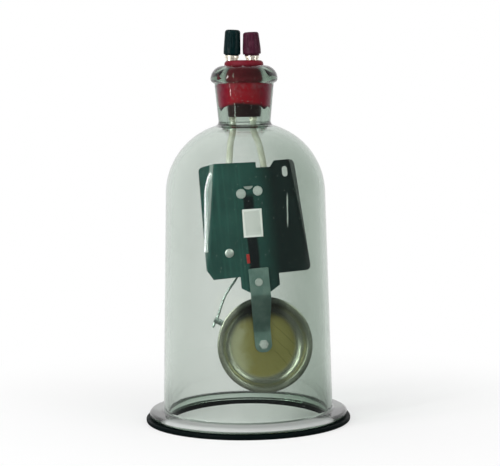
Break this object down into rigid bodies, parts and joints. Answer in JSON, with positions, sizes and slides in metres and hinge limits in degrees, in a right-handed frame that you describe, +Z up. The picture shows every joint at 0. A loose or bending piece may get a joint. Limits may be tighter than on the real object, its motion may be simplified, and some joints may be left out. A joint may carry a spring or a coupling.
{
  "type": "bell in vacuum apparatus",
  "caption": "Glass bell jar with a rubber stopper and two binding posts, in which an electric trembler bell hangs by its leads, for showing that sound needs air",
  "frame": {"origin": "middle of the gasket's underside, on the jar's axis", "axes": "+Z up along the jar, -Y towards the viewer of the picture, +X to that viewer's right"},
  "size_m": [0.1394, 0.1394, 0.2652],
  "materials": {
    "glass": "clear, faint green",
    "gasket_rubber": "matt black",
    "stopper_rubber": "matt dark red",
    "nickel": "bright nickel plate",
    "black_plastic": "gloss black",
    "red_plastic": "gloss dark red",
    "lead_sleeve": "pale beige sleeve",
    "green_paint": "gloss dark green enamel",
    "zinc_plate": "zinc plated",
    "gong_metal": "dull nickel with brown stain",
    "soft_iron": "bare iron",
    "coil_tape": "varnished green tape",
    "bobbin_fibre": "brown moulding",
    "red_fibre": "red vulcanised fibre",
    "spring_brass": "bare brass",
    "label_card": "bare pale label",
    "silver": "silver contact",
    "copper": "bare copper wire"
  },
  "bodies": {
    "jar": {"bell_jar": "glass", "sealing_gasket": "gasket_rubber"},
    "stopper": {"rubber_stopper": "stopper_rubber", "black_post_stud": "nickel", "red_post_stud": "nickel", "black_post_collar": "nickel", "red_post_collar": "nickel", "lower_washers": "nickel", "lower_nuts": "nickel"},
    "black_clamp": {"black_clamp_washer": "nickel"},
    "black_cap": {"black_cap": "black_plastic"},
    "red_clamp": {"red_clamp_washer": "nickel"},
    "red_cap": {"red_cap": "red_plastic"},
    "bell": {"left_lead": "lead_sleeve", "right_lead": "lead_sleeve", "housing": "green_paint", "lead_clips": "zinc_plate", "clip_rivets": "zinc_plate", "top_rivets": "zinc_plate", "side_rivet": "zinc_plate", "label_plate": "label_card", "magnet_yoke": "soft_iron", "yoke_rivets": "zinc_plate", "magnet_core": "soft_iron", "coil_bobbin": "bobbin_fibre", "coil_winding": "coil_tape", "spring_bracket": "zinc_plate", "spring_clamp": "zinc_plate", "clamp_screws": "spring_brass", "contact_insulator": "red_fibre", "contact_bracket": "zinc_plate", "contact_lock_nut": "spring_brass", "gong_strip": "zinc_plate", "strip_rivet": "zinc_plate", "gong": "gong_metal", "gong_screw": "zinc_plate", "gong_nut": "zinc_plate", "coil_feed_wire": "copper", "coil_contact_wire": "copper", "frame_wire": "copper"},
    "hammer": {"armature_spring": "spring_brass", "armature": "soft_iron", "armature_rivets": "spring_brass", "contact_spring": "spring_brass", "contact_tip": "silver", "hammer_arm": "zinc_plate", "hammer_head": "zinc_plate"},
    "contact": {"contact_screw": "spring_brass"}
  },
  "joints": [
    {"name": "stopper_lift", "type": "slide", "parent": "jar", "child": "stopper", "axis": [0, 0, 1], "range_m": [0, 0.003]},
    {"name": "bell_swing", "type": "hinge", "parent": "stopper", "child": "bell", "pos_m": [0, 0, 0.2038], "axis": [1, 0, 0], "range_deg": [-4, 4], "stiffness_Nm_per_rad": 0.6},
    {"name": "hammer_strike", "type": "hinge", "parent": "bell", "child": "hammer", "pos_m": [0.00173, 0.00593, 0.15233], "axis": [0.1494, -0.985, 0.0869], "range_deg": [0, 1.2], "stiffness_Nm_per_rad": 0.05, "springref_deg": -2.29},
    {"name": "contact_screw_turn", "type": "hinge", "parent": "bell", "child": "contact", "pos_m": [-0.00584, 0.00264, 0.12795], "axis": [0.9849, 0.156, 0.075], "range_deg": [-180, 180]},
    {"name": "black_cap_lift", "type": "slide", "parent": "stopper", "child": "black_clamp", "axis": [0.0436, 0, 0.999], "range_m": [0, 0.0028]},
    {"name": "black_cap_turn", "type": "hinge", "parent": "black_clamp", "child": "black_cap", "pos_m": [-0.00775, 0, 0.25249], "axis": [0.0436, 0, 0.999], "range_deg": [0, 1440]},
    {"name": "red_cap_lift", "type": "slide", "parent": "stopper", "child": "red_clamp", "axis": [-0.0436, 0, 0.999], "range_m": [0, 0.0028]},
    {"name": "red_cap_turn", "type": "hinge", "parent": "red_clamp", "child": "red_cap", "pos_m": [0.00535, 0, 0.25249], "axis": [-0.0436, 0, 0.999], "range_deg": [0, 1440]}
  ],
  "couplings": [
    {"joint": "black_cap_turn", "follows": "black_cap_lift", "rad_per_m": 8976},
    {"joint": "red_cap_turn", "follows": "red_cap_lift", "rad_per_m": 8976}
  ]
}
